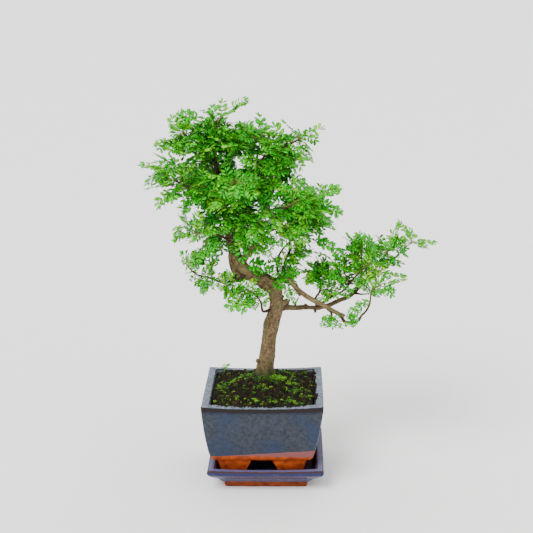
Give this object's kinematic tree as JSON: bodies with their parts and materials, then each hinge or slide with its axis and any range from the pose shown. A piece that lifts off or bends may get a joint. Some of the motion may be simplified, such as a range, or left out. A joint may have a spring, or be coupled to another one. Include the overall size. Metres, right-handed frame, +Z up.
{
  "type": "japanese pepper bonsai",
  "caption": "Small-leaved pepper bonsai with a curved trunk and pinnate leaves, potted in a square glazed pot with clay feet that stands on a square saucer.",
  "frame": {"origin": "middle of the saucer's flat underside, on the surface it stands on", "axes": "+Z up, -Y towards the front of the pot that the picture shows, +X to the right, the side the long low branches reach to"},
  "size_m": [0.3581, 0.1748, 0.4794],
  "materials": {
    "pot_glaze": "glossy speckled slate-blue glaze that ends above bare terracotta feet",
    "saucer_glaze": "glossy blue glaze with brown edges over a bare terracotta base",
    "net_plastic": "moulded drainage mesh, dull",
    "potting_soil": "damp crumbly soil with moss",
    "bark": "rough fissured bark, darker on the twigs",
    "leaf": "glossy green leaflets with a paler rib"
  },
  "bodies": {
    "root": {"saucer": "saucer_glaze", "pot": "pot_glaze", "drain_mesh": "net_plastic", "soil": "potting_soil", "wood": "bark", "shoot_01": "leaf", "shoot_02": "leaf", "shoot_03": "leaf", "shoot_04": "leaf", "shoot_05": "leaf", "shoot_06": "leaf", "shoot_07": "leaf", "shoot_08": "leaf", "shoot_09": "leaf", "shoot_10": "leaf", "shoot_11": "leaf", "shoot_12": "leaf", "shoot_13": "leaf", "shoot_14": "leaf", "shoot_15": "leaf", "shoot_16": "leaf", "shoot_17": "leaf", "shoot_18": "leaf", "shoot_19": "leaf", "shoot_20": "leaf", "shoot_21": "leaf", "shoot_22": "leaf", "shoot_23": "leaf", "shoot_24": "leaf", "shoot_25": "leaf", "shoot_26": "leaf", "shoot_27": "leaf", "shoot_28": "leaf", "shoot_29": "leaf", "shoot_30": "leaf", "shoot_31": "leaf", "shoot_32": "leaf", "shoot_33": "leaf", "shoot_34": "leaf", "shoot_35": "leaf", "shoot_36": "leaf", "shoot_37": "leaf", "shoot_38": "leaf", "shoot_39": "leaf", "shoot_40": "leaf", "shoot_41": "leaf", "shoot_42": "leaf", "shoot_43": "leaf", "shoot_44": "leaf", "shoot_45": "leaf", "shoot_46": "leaf", "shoot_47": "leaf", "shoot_48": "leaf", "shoot_49": "leaf", "shoot_50": "leaf", "shoot_51": "leaf", "shoot_52": "leaf", "shoot_53": "leaf", "shoot_54": "leaf", "shoot_55": "leaf"}
  },
  "joints": []
}
